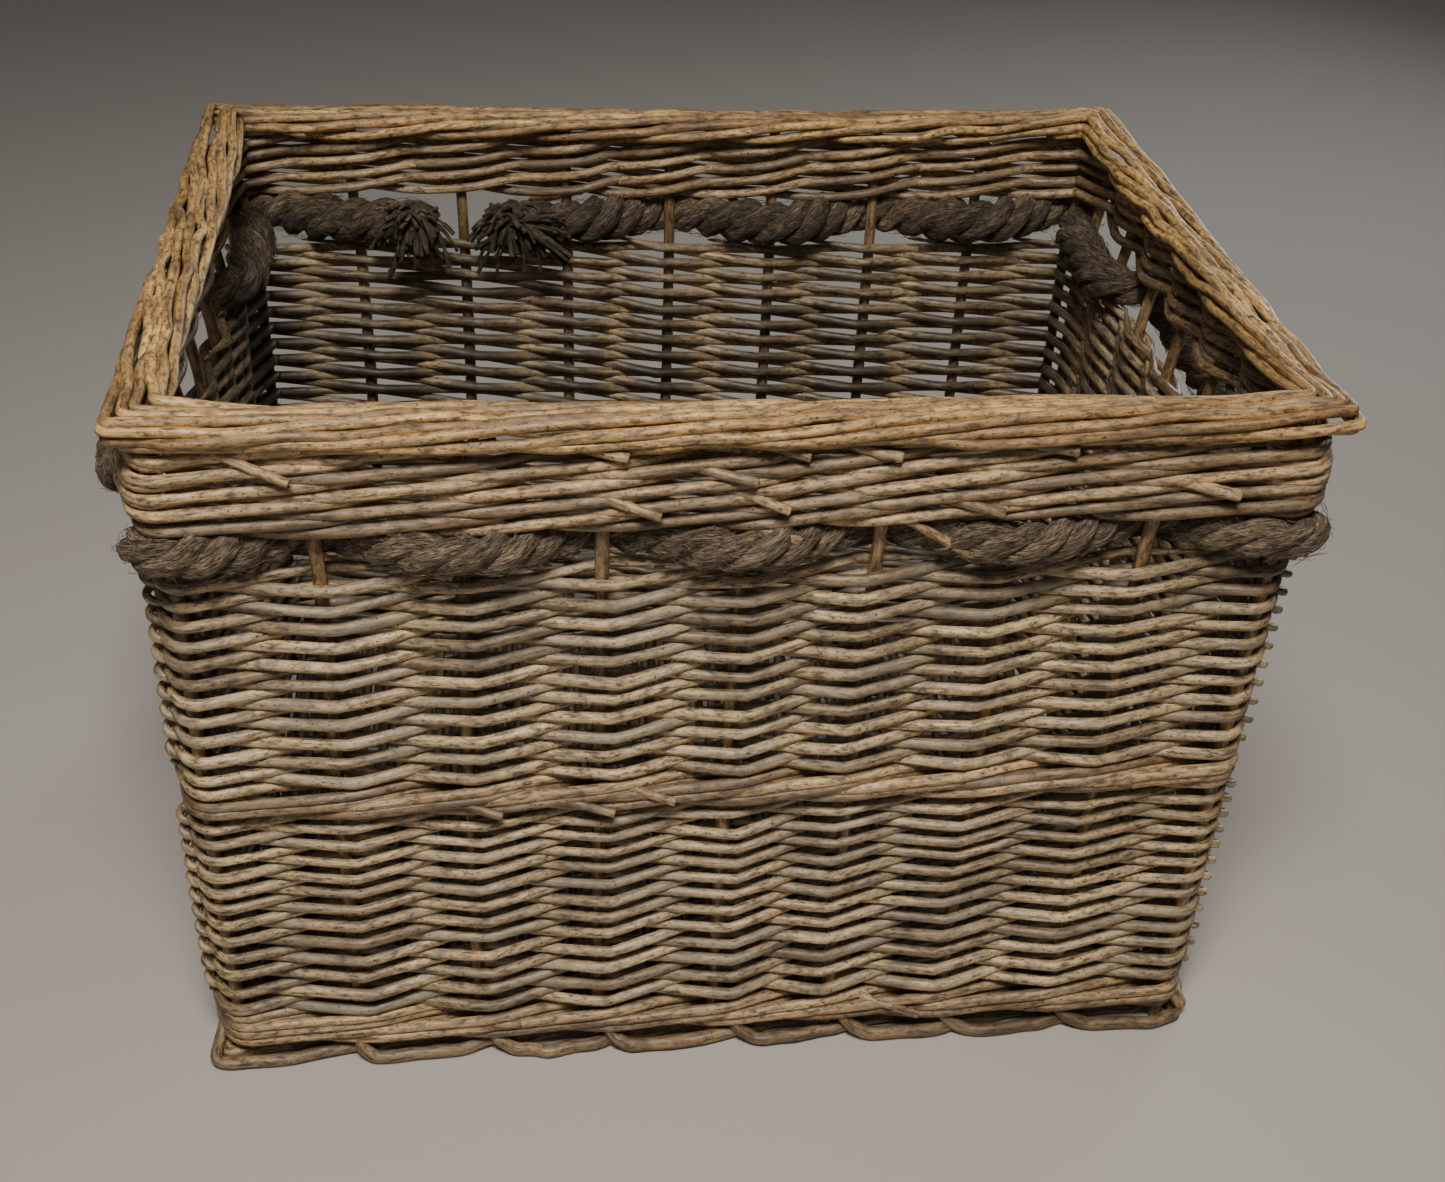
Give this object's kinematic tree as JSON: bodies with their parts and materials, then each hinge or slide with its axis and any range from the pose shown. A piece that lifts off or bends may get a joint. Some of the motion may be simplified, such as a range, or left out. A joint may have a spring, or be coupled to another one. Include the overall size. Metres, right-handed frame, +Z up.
{
  "type": "laundry basket",
  "caption": "Rectangular woven willow laundry basket with a thick rope threaded below the top wale and let out as a swinging carrying loop at each short end.",
  "frame": {"origin": "on the floor under the middle of the basket", "axes": "+X along the basket's length to the right, +Y to the back, +Z up"},
  "size_m": [0.6246, 0.4446, 0.3823],
  "materials": {
    "border_willow": "golden weathered willow",
    "wale_willow": "weathered willow",
    "siding_willow": "grey-brown washed willow",
    "stake_willow": "grey-brown willow stakes",
    "binder_willow": "thin split willow",
    "base_willow": "weathered willow",
    "rope": "dark brown three-strand natural fibre rope"
  },
  "bodies": {
    "basket": {"base_sticks": "base_willow", "base_weave": "base_willow", "foot_border": "wale_willow", "bottom_wale_1": "wale_willow", "bottom_wale_2": "wale_willow", "lower_siding": "siding_willow", "middle_wale": "wale_willow", "upper_siding": "siding_willow", "upper_wale_1": "wale_willow", "upper_wale_2": "wale_willow", "upper_wale_3": "wale_willow", "upper_wale_4": "wale_willow", "border_outer_rods": "border_willow", "border_inner_rods": "border_willow", "front_stakes": "stake_willow", "right_stakes": "stake_willow", "back_stakes": "stake_willow", "left_stakes": "stake_willow", "corner_stakes_front_left": "stake_willow", "corner_stakes_front_right": "stake_willow", "corner_stakes_back_left": "stake_willow", "corner_stakes_back_right": "stake_willow", "corner_binder_front_left": "binder_willow", "corner_binder_front_right": "binder_willow", "corner_binder_back_left": "binder_willow", "corner_binder_back_right": "binder_willow", "rope_front": "rope", "rope_back_left": "rope", "rope_back_right": "rope", "rope_tail_left": "rope", "rope_tail_right": "rope"},
    "left_handle": {"left_handle_rope": "rope"},
    "right_handle": {"right_handle_rope": "rope"}
  },
  "joints": [
    {"name": "left_handle_swing", "type": "hinge", "parent": "basket", "child": "left_handle", "pos_m": [-0.27618, 0, 0.3126], "axis": [0, 1, 0], "range_deg": [0, 100]},
    {"name": "right_handle_swing", "type": "hinge", "parent": "basket", "child": "right_handle", "pos_m": [0.27618, 0, 0.3126], "axis": [0, -1, 0], "range_deg": [0, 100]}
  ]
}
